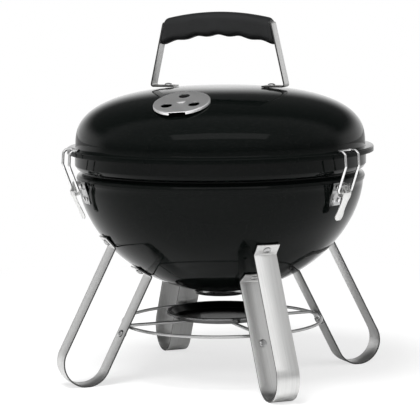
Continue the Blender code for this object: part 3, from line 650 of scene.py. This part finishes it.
def leg_line(name, azimuth):
    middle = LEG_LOOP - STRAP / 2
    centre = Vector((LEG_REACH, middle * math.cos(FOOT_FLAT) + STRAP / 2))
    out = Vector((math.cos(LEG_TILT), math.sin(LEG_TILT)))
    up = Vector((-out.y, out.x))
    ends = []
    for side, tab in ((1, "outer"), (-1, "inner")):
        _, top, way = screw_place(f"leg_{name}_{tab}_bolt")
        away = flat_point(azimuth, way)
        seat = flat_point(azimuth, top) - away * (HEAD[1] + SEAT_GAP + STRAP / 2)
        along = Vector((-away.y, away.x))
        fold = meet(seat, along, centre + out * side * middle, up)
        ends.append([seat + along * TAB_END, fold])
    under = -math.pi / 2
    loop = arc(centre, middle, LEG_TILT, under + FOOT_FLAT, 22)
    loop += arc(centre, middle, under - FOOT_FLAT, LEG_TILT - math.pi, 12)
    outer = rounded([*ends[0], loop[0]], 0.0025, 4)
    inner = rounded([loop[-1], *ends[1][::-1]], 0.0025, 4)
    return outer[:-1] + loop + inner[1:]


for name, azimuth in LEGS.items():
    mesh = strip_mesh(leg_line(name, azimuth), STRAP, LEG_WIDTH, station(azimuth))
    add_piece(mesh, f"{name}_leg_strap", "strap", "kettle", [f"leg_{name}"])

# %% [markdown]
# ## Carry handle
# The strap rises from two tabs screwed to the lid and runs through a moulded grip. The grip is lofted
# from rounded oblong sections, crowned on top and waved underneath for the fingers.

# %% Carry handle
HANDLE_AZIMUTH = 52.9
HANDLE_WIDTH = 0.024
HANDLE_FOOT = 0.0887
HANDLE_TAB = 0.031
HANDLE_HEIGHT = 0.4505
HANDLE_CROWN = 0.007
GRIP_HALF = 0.069
GRIP_WIDTH = 0.029
GRIP_DEPTH = 0.0289
GRIP_CROWN = 0.0083
GRIP_FINGERS = 5
GRIP_SAG = 0.003  # how much more the underside is curved than the top
GRIP_LEAN = 0.19
GRIP_PARTING = 0.0004  # depth of the groove where the two halves of the mould meet
grip_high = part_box("handle_grip")[1]


def handle_line():
    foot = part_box("handle_strap")[0].z + STRAP / 2
    outer = HANDLE_FOOT - STRAP / 2
    end = GRIP_HALF + SEAT_GAP + STRAP / 2
    top = [(end * k / 6, HANDLE_HEIGHT + HANDLE_CROWN * (1 - (k / 6) ** 2)) for k in range(-5, 6)]
    left = [(-(HANDLE_FOOT - HANDLE_TAB), foot), (-outer, foot), (-end, HANDLE_HEIGHT)]
    return rounded(left + top + [(-x, z) for x, z in left[::-1]], 0.003, 4)


def grip_ring(share):
    """One section of the grip, at a share of its half length. The end leans out with the strap."""
    top = grip_high.z - GRIP_CROWN * share**2
    wave = math.cos(math.pi * GRIP_FINGERS * share)
    bottom = grip_high.z - GRIP_DEPTH - (GRIP_CROWN + GRIP_SAG) * share**2 + 0.0011 * (wave - 1)
    ease = 1 - 0.10 * max(0.0, (abs(share) - 0.94) / 0.06) ** 2
    ring = []
    for k in range(36):
        angle = 2 * math.pi * (k + 0.5) / 36
        across = math.copysign(abs(math.cos(angle)) ** 0.62, math.cos(angle))
        rise = math.copysign(abs(math.sin(angle)) ** 0.62, math.sin(angle))
        height = (top + bottom) / 2 + ease * rise * (top - bottom) / 2
        if abs(math.sin(angle)) < 0.1:
            across *= 1 - 2 * GRIP_PARTING / GRIP_WIDTH
        lean = GRIP_LEAN * max(0.0, HANDLE_HEIGHT - height) * share**3
        ring.append((share * GRIP_HALF + lean, ease * across * GRIP_WIDTH / 2, height))
    return ring


def grip_mesh(place):
    bm = bmesh.new()
    steps = 72
    rings = []
    for k in range(steps + 1):
        share = 2 * k / steps - 1
        share = math.copysign(1 - (1 - abs(share)) ** 1.15, share) if share else 0.0
        rings.append([bm.verts.new(point) for point in grip_ring(share)])
    for ring, following in zip(rings, rings[1:]):
        for k in range(len(ring)):
            bm.faces.new((ring[k - 1], ring[k], following[k], following[k - 1]))
    bm.faces.new(rings[0])
    bm.faces.new(rings[-1][::-1])
    bmesh.ops.recalc_face_normals(bm, faces=bm.faces)
    bm.transform(place)
    return bm


handle_place = station(HANDLE_AZIMUTH)
handle_strap = strip_mesh(handle_line(), STRAP, HANDLE_WIDTH, handle_place)
add_piece(handle_strap, "carry_strap", "strap", "lid", ["handle_strap"])
add_piece(grip_mesh(handle_place), "carry_grip", "grip", "lid", ["handle_grip"])

# %% [markdown]
# ## Wire pieces
# Ring, grates and latch bails are all round wire along a bent line. One Geometry Nodes tree does
# them all: it takes a line of edges, rounds its corners and sweeps a circle along it.


# %% The wire tree
def wire_tree():
    tree = bpy.data.node_groups.new("wire_along_lines", "GeometryNodeTree")
    face = tree.interface
    face.new_socket("Lines", in_out="INPUT", socket_type="NodeSocketGeometry")
    for name in ("Wire radius", "Bend radius"):
        face.new_socket(name, in_out="INPUT", socket_type="NodeSocketFloat")
    face.new_socket("Finish", in_out="INPUT", socket_type="NodeSocketMaterial")
    face.new_socket("Wire", in_out="OUTPUT", socket_type="NodeSocketGeometry")
    nodes = {}
    for key, kind in (
        ("in", "NodeGroupInput"),
        ("curve", "GeometryNodeMeshToCurve"),
        ("fillet", "GeometryNodeFilletCurve"),
        ("circle", "GeometryNodeCurvePrimitiveCircle"),
        ("sweep", "GeometryNodeCurveToMesh"),
        ("smooth", "GeometryNodeSetShadeSmooth"),
        ("realize", "GeometryNodeRealizeInstances"),
        ("finish", "GeometryNodeSetMaterial"),
        ("out", "NodeGroupOutput"),
    ):
        nodes[key] = tree.nodes.new(kind)
    set_fillet(nodes["fillet"])
    nodes["circle"].inputs["Resolution"].default_value = 14
    nodes["sweep"].inputs["Fill Caps"].default_value = True
    for start, output, end, entry in (
        ("in", 0, "curve", 0),
        ("curve", 0, "fillet", "Curve"),
        ("in", 2, "fillet", "Radius"),
        ("fillet", 0, "sweep", "Curve"),
        ("in", 1, "circle", "Radius"),
        ("circle", 0, "sweep", "Profile Curve"),
        ("sweep", 0, "smooth", 0),
        ("smooth", 0, "realize", 0),
        ("realize", 0, "finish", 0),
        ("in", 3, "finish", "Material"),
        ("finish", 0, "out", 0),
    ):
        tree.links.new(nodes[start].outputs[output], nodes[end].inputs[entry])
    return tree


def set_fillet(node):
    """Bends are made of six straight steps."""
    if "Mode" in node.inputs:
        node.inputs["Mode"].default_value = "Poly"
    else:
        node.mode = "POLY"
    node.inputs["Count"].default_value = 6
    node.inputs["Limit Radius"].default_value = True


def wire_mesh(lines, radius, bend, look):
    """Lines are lists of points. A line that ends where it starts is closed."""
    mesh = bpy.data.meshes.new("lines")
    points = []
    edges = []
    for line in lines:
        closed = (Vector(line[0]) - Vector(line[-1])).length < 1e-6
        kept = line[:-1] if closed else line
        first = len(points)
        points += [tuple(point) for point in kept]
        edges += [(first + k, first + k + 1) for k in range(len(kept) - 1)]
        if closed:
            edges.append((first + len(kept) - 1, first))
    mesh.from_pydata(points, edges, [])
    obj = bpy.data.objects.new("lines", mesh)
    bpy.context.scene.collection.objects.link(obj)
    modifier = obj.modifiers.new("wire", "NODES")
    modifier.node_group = WIRE_TREE
    sockets = {item.name: item.identifier for item in WIRE_TREE.interface.items_tree}
    modifier[sockets["Wire radius"]] = radius
    modifier[sockets["Bend radius"]] = bend
    modifier[sockets["Finish"]] = LOOKS[look]
    return baked(obj)


WIRE_TREE = wire_tree()
print("wire tree:", len(WIRE_TREE.nodes), "nodes")

# %% Ring with its cross wires, and its clips
RING_HEIGHT = 0.0705
RING_WIRE = 0.002
RING_RADIUS = 0.1273
CROSS_LIFT = 0.0016
CLIP = (0.0015, 0.013)
RING_BOLT_DROP = 0.0085
CLIP_DROP = 0.0145


def circle(radius, height, steps=144):
    turns = [2 * math.pi * k / steps for k in range(steps + 1)]
    return [Vector((radius * math.cos(a), radius * math.sin(a), height)) for a in turns]


def ring_lines():
    lift = RING_HEIGHT + CROSS_LIFT
    across = [[(-RING_RADIUS, 0, lift), (RING_RADIUS, 0, lift)], [(0, -RING_RADIUS, lift), (0, RING_RADIUS, lift)]]
    return [circle(RING_RADIUS, RING_HEIGHT)] + across


ring_mesh = wire_mesh(ring_lines(), RING_WIRE, 0.0, "wire")
add_piece(ring_mesh, "wire_ring", "wire", "kettle", ["ash_pan_carrier"])
for name, azimuth in LEGS.items():
    _, top, way = screw_place(f"ring_bolt_{name}")
    away = flat_point(azimuth, way)
    face = flat_point(azimuth, top) - away * (HEAD[1] + 2 * SEAT_GAP + STRAP + CLIP[0] / 2)
    up = Vector((-away.y, away.x)) if away.x > 0 else Vector((away.y, -away.x))
    line = [face + up * (RING_BOLT_DROP + RING_WIRE), face - up * (CLIP_DROP - RING_BOLT_DROP)]
    clip = strip_mesh(line, CLIP[0], CLIP[1], station(azimuth), 0.0003)
    add_piece(clip, f"{name}_ring_clip", "latch", "kettle")

# %% Grates
GRATES = {
    "cooking_grate": (0.1784, 0.0025, 0.0018, 0.0195, "grate"),
    "charcoal_grate": (0.128, 0.0025, 0.0022, 0.027, "coals"),
}
for node, (radius, ring_wire, bar_wire, pitch, look) in GRATES.items():
    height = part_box(node)[1].z - ring_wire * math.sin(math.pi / 3)
    lift = height + (ring_wire - bar_wire) * 0.5
    count = int(radius * 0.97 / pitch)
    bars = []
    for k in range(-count, count + 1):
        half = math.sqrt((radius - bar_wire / 2) ** 2 - (k * pitch) ** 2)
        bars.append([(-half, k * pitch, lift), (half, k * pitch, lift)])
    for side in (-1, 1):
        x = side * radius * 0.42
        half = math.sqrt((radius - 2 * ring_wire) ** 2 - x**2)
        bars.append([(x, -half, lift - bar_wire * 1.3), (x, half, lift - bar_wire * 1.3)])
    add_piece(wire_mesh([circle(radius, height)], ring_wire, 0.0, look), f"{node}_ring", look, node, [node])
    add_piece(wire_mesh(bars, bar_wire, 0.0, look), f"{node}_bars", look, node)

# %% Latch bails
LATCHES = {"left": -90, "right": 30, "rear": 150}
BAIL_PIVOT = (0.1930, 0.2465)
BAIL_WIRE = 0.0017
BAIL_HALF = 0.0135
BAIL_REACH = 0.205
BAIL_KNEE = 0.279
BAIL_OVERLAP = 0.0035
LEVER_WIDTH = 0.0158
LATCH_SHEET = 0.0014


def bail_line():
    over = BRIM_TOP + SEAT_GAP + BAIL_WIRE
    side = [BAIL_PIVOT, (BAIL_REACH, BAIL_KNEE), (BAIL_REACH - 0.001, over - 0.0035)]
    side += [(BAIL_REACH - 0.005, over), (lid_high.x - BAIL_OVERLAP, over)]
    ends = (BAIL_PIVOT[0], LEVER_WIDTH / 2 - LATCH_SHEET - 0.0012, BAIL_PIVOT[1])
    half = [ends] + [(reach, BAIL_HALF, height) for reach, height in side]
    return half + [(reach, -y, height) for reach, y, height in half[::-1]]


for name, azimuth in LATCHES.items():
    mesh = wire_mesh([bail_line()], BAIL_WIRE, 0.004, "plated")
    mesh.transform(station(azimuth))
    add_piece(mesh, f"{name}_bail_wire", "plated", f"bail_{name}", [f"latch_{name}_bail"])

# %% [markdown]
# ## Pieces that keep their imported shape
# Brackets, levers, pins and small rivets are right as they are. Each is copied, its loose triangles
# are joined, flat runs are merged, and its edges are broken slightly, as a deburred stamping's are.


# %% Small latch pieces
def deburred(node, bevel):
    bm = bmesh.new()
    bm.from_mesh(frame["nodes"][node].data)
    bmesh.ops.remove_doubles(bm, verts=bm.verts, dist=1e-6)
    flats = {"angle_limit": math.radians(1), "verts": bm.verts, "edges": bm.edges}
    bmesh.ops.dissolve_limit(bm, **flats)
    sharp = [edge for edge in bm.edges if edge.is_manifold and edge.calc_face_angle() > math.radians(50)]
    bmesh.ops.bevel(bm, geom=sharp, offset=bevel, segments=2, profile=0.5, clamp_overlap=True, affect="EDGES")
    return bm


for name in LATCHES:
    for part, body, look in (("bracket", "kettle", "wire"), ("lever", f"lever_{name}", "latch")):
        node = f"latch_{name}_{part}"
        add_piece(deburred(node, 0.00022), f"{name}_latch_{part}", look, body, [node])
    for part in ("pin", "rivet_a", "rivet_b"):
        node = f"latch_{name}_{part}"
        add_piece(deburred(node, 0.00035), f"{name}_latch_{part}", "plated", "kettle", [node])

# %% [markdown]
# ## Screws
# Pan-head screws with a cross recess hold the straps, with hexagon nuts behind. One head and one nut
# are modelled, and a Geometry Nodes tree sets a copy on each point, turned the way that the point says.


# %% Screw head, nut and the tree that sets them
def head_mesh():
    bm = bmesh.new()
    dome = [Vector((HEAD[0] * math.sin(a), HEAD[1] * (math.cos(a) - 1) * 0.75)) for a in np.linspace(0, math.pi / 2, 8)]
    dome[0].x = 0
    lathe(bm, dome + [Vector((HEAD[0], -HEAD[1])), Vector((0, -HEAD[1]))], 28)
    tool = bmesh.new()
    for turn in (0, math.pi / 2):
        size = Matrix.Diagonal((0.0046, 0.0010, 0.0022, 1))
        bmesh.ops.create_cube(tool, size=1, matrix=Matrix.Rotation(turn, 4, "Z") @ size)
    obj = scratch_object(bm, "head")
    for k in (0, 1):
        half = tool.copy() if k == 0 else tool
        bmesh.ops.delete(half, geom=list(half.verts)[8 * (1 - k) : 8 * (2 - k)], context="VERTS")
        cutter = scratch_object(half, f"recess_{k}")
        modifier = obj.modifiers.new("recess", "BOOLEAN")
        modifier.object = cutter
    mesh = baked(obj)
    for cutter in [item for item in bpy.data.objects if item.name.startswith("recess_")]:
        bpy.data.objects.remove(cutter)
    mesh.shade_smooth()
    mesh.set_sharp_from_angle(angle=SMOOTH_ANGLE)
    return mesh


def nut_mesh():
    bm = bmesh.new()
    size = {"radius1": 0.0042, "radius2": 0.0042, "depth": 0.0026, "segments": 6}
    bmesh.ops.create_cone(bm, cap_ends=True, matrix=Matrix.Translation((0, 0, -0.0013)), **size)
    shank = {"radius1": 0.0021, "radius2": 0.0021, "depth": 0.0036, "segments": 16}
    bmesh.ops.create_cone(bm, cap_ends=True, matrix=Matrix.Translation((0, 0, -0.0016)), **shank)
    sharp = [edge for edge in bm.edges if edge.calc_face_angle() > math.radians(50)]
    bmesh.ops.bevel(bm, geom=sharp, offset=0.0003, segments=2, profile=0.5, affect="EDGES", clamp_overlap=True)
    mesh = bpy.data.meshes.new("nut")
    bm.to_mesh(mesh)
    bm.free()
    mesh.shade_smooth()
    mesh.set_sharp_from_angle(angle=SMOOTH_ANGLE)
    return mesh


def fastener_tree():
    tree = bpy.data.node_groups.new("fasteners_on_points", "GeometryNodeTree")
    face = tree.interface
    face.new_socket("Points", in_out="INPUT", socket_type="NodeSocketGeometry")
    face.new_socket("Fastener", in_out="INPUT", socket_type="NodeSocketObject")
    face.new_socket("Finish", in_out="INPUT", socket_type="NodeSocketMaterial")
    face.new_socket("Fasteners", in_out="OUTPUT", socket_type="NodeSocketGeometry")
    nodes = {}
    for key, kind in (
        ("in", "NodeGroupInput"),
        ("info", "GeometryNodeObjectInfo"),
        ("way", "GeometryNodeInputNamedAttribute"),
        ("turn", "FunctionNodeAlignRotationToVector"),
        ("set", "GeometryNodeInstanceOnPoints"),
        ("realize", "GeometryNodeRealizeInstances"),
        ("finish", "GeometryNodeSetMaterial"),
        ("out", "NodeGroupOutput"),
    ):
        nodes[key] = tree.nodes.new(kind)
    nodes["way"].data_type = "FLOAT_VECTOR"
    nodes["way"].inputs["Name"].default_value = "way"
    nodes["turn"].axis = "Z"
    for start, output, end, entry in (
        ("in", 0, "set", "Points"),
        ("in", 1, "info", "Object"),
        ("info", "Geometry", "set", "Instance"),
        ("way", 0, "turn", "Vector"),
        ("turn", 0, "set", "Rotation"),
        ("set", 0, "realize", 0),
        ("realize", 0, "finish", 0),
        ("in", 2, "finish", "Material"),
        ("finish", 0, "out", 0),
    ):
        tree.links.new(nodes[start].outputs[output], nodes[end].inputs[entry])
    return tree


def set_fasteners(mesh, places, look):
    """A mesh with one copy of a fastener at each (point, way)."""
    sample = bpy.data.objects.new("fastener", mesh)
    bpy.context.scene.collection.objects.link(sample)
    dots = bpy.data.meshes.new("dots")
    dots.from_pydata([tuple(point) for point, _ in places], [], [])
    ways = dots.attributes.new("way", "FLOAT_VECTOR", "POINT")
    for k, (_, way) in enumerate(places):
        ways.data[k].vector = way
    obj = bpy.data.objects.new("dots", dots)
    bpy.context.scene.collection.objects.link(obj)
    modifier = obj.modifiers.new("fasteners", "NODES")
    modifier.node_group = FASTENER_TREE
    sockets = {item.name: item.identifier for item in FASTENER_TREE.interface.items_tree}
    modifier[sockets["Fastener"]] = sample
    modifier[sockets["Finish"]] = LOOKS[look]
    made = baked(obj)
    bpy.data.objects.remove(sample)
    return made


FASTENER_TREE = fastener_tree()

# %% Set the screws and nuts
SCREWS = {
    "kettle": [f"leg_{leg}_{tab}_bolt" for leg in LEGS for tab in ("outer", "inner")]
    + [f"ring_bolt_{leg}" for leg in LEGS],
    "lid": ["handle_bolt_a", "handle_bolt_b"],
}
for body, nodes in SCREWS.items():
    heads = []
    nuts = []
    for node in nodes:
        middle, top, way = screw_place(node)
        heads.append((top, way))
        nuts.append((middle * 2 - top, -way))
    # Painted reflection: the kettle's screws and nuts take the darker zinc finish for the black bowl that they reflect;
    # the lid's stay plated.
    look = "plated" if body == "lid" else "wire"
    add_piece(set_fasteners(head_mesh(), heads, look), f"{body}_screw_heads", look, body, nodes)
    add_piece(set_fasteners(nut_mesh(), nuts, look), f"{body}_nuts", look, body)

# %% [markdown]
# ## Ash pan
# A shallow pan spun from bright sheet, with a rolled edge. It stands on the cross wires.

# %% Ash pan
PAN_SHEET = 0.001
pan_low, pan_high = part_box("ash_pan")


def pan_section():
    wall = [(pan_high.x, pan_high.z - 0.0018), (pan_high.x, pan_high.z), (pan_high.x - 0.0034, pan_high.z)]
    wall += [(0.0615, pan_low.z + 0.0008), (0.058, pan_low.z), (0.03, pan_low.z)]
    return shell(rounded(wall, 0.0018, 4) + [(0, pan_low.z)], PAN_SHEET)


pan_mesh = bmesh.new()
lathe(pan_mesh, pan_section(), 120)
add_piece(pan_mesh, "pan_sheet", "pan", "ash_pan", ["ash_pan"])

# %% [markdown]
# ## Studio
# A pale floor runs out of sight. One broad lamp hangs high in front and a second fills from the
# right. The enamel shows the bright surroundings only where it is seen at a glancing angle.

# %% Floor, lamps and surroundings
FLOOR_SIZE = 30.0
FLOOR_TONE = (0.93, 0.93, 0.93)
PAPER_FADE = (0.5, 1.0)  # from the axis: the camera sees plain white paper beyond these
PAPER_WHITE = 0.66  # share of plain white in the paper close by
BACK_SHARE = (0.15, 0.45)  # how far a direction points away from the camera, where the back starts
BACK_FALL = (0.10, 0.38)  # rise of a direction: bright wall below, dark ceiling above
BACK_LEVELS = (1.12, 0.10)
FRONT_FALL = (-0.05, 0.35)
FRONT_LEVELS = (0.28, 0.78)


def make_floor():
    bm = bmesh.new()
    bmesh.ops.create_grid(bm, x_segments=2, y_segments=2, size=FLOOR_SIZE / 2)
    mesh = bpy.data.meshes.new("floor")
    bm.to_mesh(mesh)
    bm.free()
    floor_look = Finish("floor_paper", Roughness=0.9)
    shade = floor_look.noise(floor_look.place(), 3, 1)
    pale = tuple(part * 0.985 for part in FLOOR_TONE)
    paper = floor_look.mix(shade, pale, FLOOR_TONE)
    floor_look.paint("Base Color", paper)
    floor_look.shader.inputs["Specular IOR Level"].default_value = 0.0
    tree = floor_look.tree
    seen = floor_look.node("ShaderNodeLightPath", {}, "Is Camera Ray")
    reach = floor_look.node("ShaderNodeVectorMath", {0: floor_look.place()}, 1, operation="LENGTH")
    white = PAPER_WHITE + (1 - PAPER_WHITE) * floor_look.ramp(reach, *PAPER_FADE)
    mixed = tree.nodes.new("ShaderNodeMixShader")
    glow = tree.nodes.new("ShaderNodeEmission")
    feed(tree, mixed.inputs[0], seen * white)
    tree.links.new(tree.nodes["Principled BSDF"].outputs[0], mixed.inputs[1])
    tree.links.new(glow.outputs[0], mixed.inputs[2])
    tree.links.new(mixed.outputs[0], tree.nodes["Material Output"].inputs[0])
    mesh.materials.append(floor_look.material)
    floor = bpy.data.objects.new("floor", mesh)
    bpy.context.scene.collection.objects.link(floor)


def make_lamp(name, at, size, power):
    data = bpy.data.lights.new(name, "AREA")
    data.shape = "DISK"
    data.size = size
    data.energy = power
    lamp = bpy.data.objects.new(name, data)
    aim = Vector((0, 0, 0.2)) - Vector(at)
    lamp.matrix_world = Matrix.Translation(at) @ aim.to_track_quat("-Z", "Y").to_matrix().to_4x4()
    lamp.visible_glossy = False
    bpy.context.scene.collection.objects.link(lamp)


def ramp_between(tree, value, span, levels):
    node = tree.nodes.new("ShaderNodeMapRange")
    node.interpolation_type = "SMOOTHSTEP"
    for entry, given in zip(("Value", "From Min", "From Max", "To Min", "To Max"), (value, *span, *levels)):
        feed(tree, node.inputs[entry], given)
    return Shade(tree, node.outputs[0])


def make_world():
    world = bpy.data.worlds.new("studio")
    world.use_nodes = True
    tree = world.node_tree
    way = tree.nodes.new("ShaderNodeTexCoord").outputs["Generated"]
    parts = tree.nodes.new("ShaderNodeSeparateXYZ")
    tree.links.new(way, parts.inputs[0])
    x, y, z = (Shade(tree, output) for output in parts.outputs)
    behind = x * -math.sin(CAMERA_AZIMUTH) + y * math.cos(CAMERA_AZIMUTH)
    back = ramp_between(tree, z, BACK_FALL, BACK_LEVELS)
    front = ramp_between(tree, z, FRONT_FALL, FRONT_LEVELS)
    share = ramp_between(tree, behind, BACK_SHARE, (0.0, 1.0))
    level = front + (back - front) * share
    seen = Shade(tree, tree.nodes.new("ShaderNodeLightPath").outputs["Is Camera Ray"])
    light = tree.nodes["Background"]
    light.inputs["Color"].default_value = (1, 1, 1, 1)
    feed(tree, light.inputs["Strength"], level + (1 - level) * seen)
    bpy.context.scene.world = world


def make_strip_box(at, size, power):
    """A long narrow softbox that the enamel reflects as a faint band."""
    data = bpy.data.lights.new("strip", "AREA")
    data.shape = "RECTANGLE"
    data.size = size[0]
    data.size_y = size[1]
    data.energy = power
    lamp = bpy.data.objects.new("strip", data)
    aim = Vector((0, 0, 0.3)) - Vector(at)
    lamp.matrix_world = Matrix.Translation(at) @ aim.to_track_quat("-Z", "Y").to_matrix().to_4x4()
    bpy.context.scene.collection.objects.link(lamp)


make_floor()
make_strip_box((-0.67, -1.72, 1.85), (3.2, 0.75), 14)
make_lamp("key", (-0.9, -0.7, 2.6), 1.1, 70)
make_lamp("fill", (2.2, -0.6, 1.6), 1.4, 10)
make_world()
bpy.context.scene.view_settings.view_transform = "Standard"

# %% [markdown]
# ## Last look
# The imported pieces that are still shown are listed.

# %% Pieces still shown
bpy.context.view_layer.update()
left = sorted(name for name, node in frame["nodes"].items() if not node.hide_render)
print("packed pieces still shown:", left)
